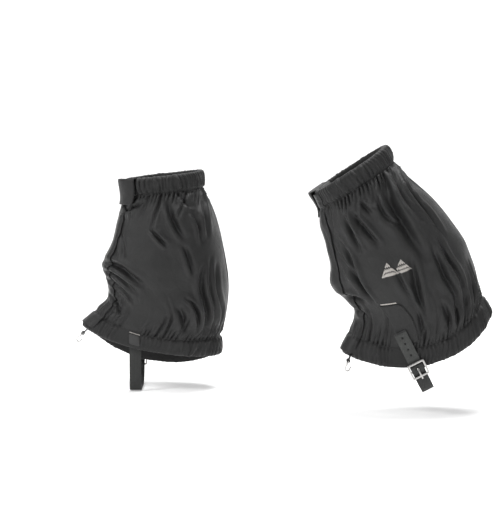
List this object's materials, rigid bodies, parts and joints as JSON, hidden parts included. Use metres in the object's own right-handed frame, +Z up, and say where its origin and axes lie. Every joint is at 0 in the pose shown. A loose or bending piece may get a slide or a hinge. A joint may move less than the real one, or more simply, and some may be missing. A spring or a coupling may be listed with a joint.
{
  "type": "hiking gaiters",
  "caption": "Low hiking gaiters for both feet in their worn shape: flared cloth sleeves with elastic cuffs, a front flap, a closure tab, lace hooks and buckled straps under the arch.",
  "frame": {"origin": "middle of the upper face of the right gaiter's instep strap, where the arch of the boot rests", "axes": "+Z up, +X from toe to heel, +Y towards the outer side of the right foot; the left gaiter stands on the -Y side with its heel lifted"},
  "size_m": [0.5447, 0.3224, 0.3378],
  "materials": {
    "shell_cloth": "black coated nylon, slightly glossy",
    "cuff_cloth": "black nylon, gathered by elastic",
    "elastic_band": "woven elastic inside the cuffs",
    "fastening_tape": "matte hook and loop tape",
    "webbing": "flat woven webbing",
    "coated_strap": "grey coated webbing",
    "light_thread": "light grey embroidery thread",
    "nickel": "nickel plated wire"
  },
  "bodies": {
    "right_gaiter": {"right_outer_panel": "shell_cloth", "right_inner_panel": "shell_cloth", "right_top_cuff": "cuff_cloth", "right_top_elastic": "elastic_band", "right_hem_cuff": "cuff_cloth", "right_hem_elastic": "elastic_band", "right_front_loop_tape": "fastening_tape", "right_cuff_loop_patch": "fastening_tape", "right_side_patch": "shell_cloth", "right_side_bartack": "light_thread", "right_buckle_anchor": "webbing", "right_instep_strap": "coated_strap", "right_strap_box_patch": "webbing", "right_inner_bartack": "light_thread", "right_lace_hook_tab": "webbing", "right_emblem": "light_thread"},
    "right_flap": {"right_front_flap": "shell_cloth", "right_flap_hook_tape": "fastening_tape"},
    "right_tab": {"right_closure_tab": "cuff_cloth", "right_tab_hook_patch": "fastening_tape"},
    "right_buckle": {"right_buckle_frame": "nickel"},
    "right_prong": {"right_buckle_prong": "nickel"},
    "right_tail": {"right_strap_tail": "coated_strap"},
    "right_hook": {"right_lace_hook": "nickel"},
    "left_gaiter": {"left_outer_panel": "shell_cloth", "left_inner_panel": "shell_cloth", "left_top_cuff": "cuff_cloth", "left_top_elastic": "elastic_band", "left_hem_cuff": "cuff_cloth", "left_hem_elastic": "elastic_band", "left_front_loop_tape": "fastening_tape", "left_cuff_loop_patch": "fastening_tape", "left_side_patch": "shell_cloth", "left_side_bartack": "light_thread", "left_buckle_anchor": "webbing", "left_instep_strap": "coated_strap", "left_strap_box_patch": "webbing", "left_inner_bartack": "light_thread", "left_lace_hook_tab": "webbing", "left_emblem": "light_thread"},
    "left_flap": {"left_front_flap": "shell_cloth", "left_flap_hook_tape": "fastening_tape"},
    "left_tab": {"left_closure_tab": "cuff_cloth", "left_tab_hook_patch": "fastening_tape"},
    "left_buckle": {"left_buckle_frame": "nickel"},
    "left_prong": {"left_buckle_prong": "nickel"},
    "left_tail": {"left_strap_tail": "coated_strap"},
    "left_hook": {"left_lace_hook": "nickel"}
  },
  "joints": [
    {"name": "right_flap_hinge", "type": "hinge", "parent": "right_gaiter", "child": "right_flap", "pos_m": [-0.03419, 0.02356, 0.13555], "axis": [-0.1322, -0.0017, -0.9912], "range_deg": [0, 110]},
    {"name": "right_tab_hinge", "type": "hinge", "parent": "right_flap", "child": "right_tab", "pos_m": [-0.02282, -0.00653, 0.24798], "axis": [-0.0586, 0.0021, -0.9983], "range_deg": [0, 100]},
    {"name": "right_buckle_rock", "type": "hinge", "parent": "right_gaiter", "child": "right_buckle", "pos_m": [0, 0.05515, 0.032], "axis": [1, 0, 0], "range_deg": [-3, 3]},
    {"name": "right_prong_lift", "type": "hinge", "parent": "right_buckle", "child": "right_prong", "pos_m": [0, 0.05515, 0.032], "axis": [1, 0, 0], "range_deg": [0, 75]},
    {"name": "right_tail_lift", "type": "hinge", "parent": "right_gaiter", "child": "right_tail", "pos_m": [0, 0.0533, 0.04395], "axis": [-1, 0, 0], "range_deg": [0, 70]},
    {"name": "right_hook_swing", "type": "hinge", "parent": "right_gaiter", "child": "right_hook", "pos_m": [-0.07367, 0, 0.0739], "axis": [0, 1, 0], "range_deg": [-20, 40]},
    {"name": "left_flap_hinge", "type": "hinge", "parent": "left_gaiter", "child": "left_flap", "pos_m": [0.28773, -0.22356, 0.13616], "axis": [-0.3322, -0.0017, 0.9432], "range_deg": [0, 110]},
    {"name": "left_tab_hinge", "type": "hinge", "parent": "left_flap", "child": "left_tab", "pos_m": [0.24683, -0.19347, 0.2415], "axis": [-0.4009, 0.0021, 0.9161], "range_deg": [0, 100]},
    {"name": "left_buckle_rock", "type": "hinge", "parent": "left_gaiter", "child": "left_buckle", "pos_m": [0.36521, -0.25515, 0.05942], "axis": [-0.891, 0, -0.454], "range_deg": [-3, 3]},
    {"name": "left_prong_lift", "type": "hinge", "parent": "left_buckle", "child": "left_prong", "pos_m": [0.36521, -0.25515, 0.05942], "axis": [-0.891, 0, -0.454], "range_deg": [0, 75]},
    {"name": "left_tail_lift", "type": "hinge", "parent": "left_gaiter", "child": "left_tail", "pos_m": [0.35979, -0.2533, 0.07007], "axis": [0.891, 0, 0.454], "range_deg": [0, 70]},
    {"name": "left_hook_swing", "type": "hinge", "parent": "left_gaiter", "child": "left_hook", "pos_m": [0.28055, -0.2, 0.06331], "axis": [0, 1, 0], "range_deg": [-20, 40]},
    {"name": "left_heel_lift", "type": "hinge", "parent": "right_gaiter", "child": "left_gaiter", "pos_m": [0.321, -0.2, -0.008], "axis": [0, -1, 0], "range_deg": [-27, 20]}
  ]
}
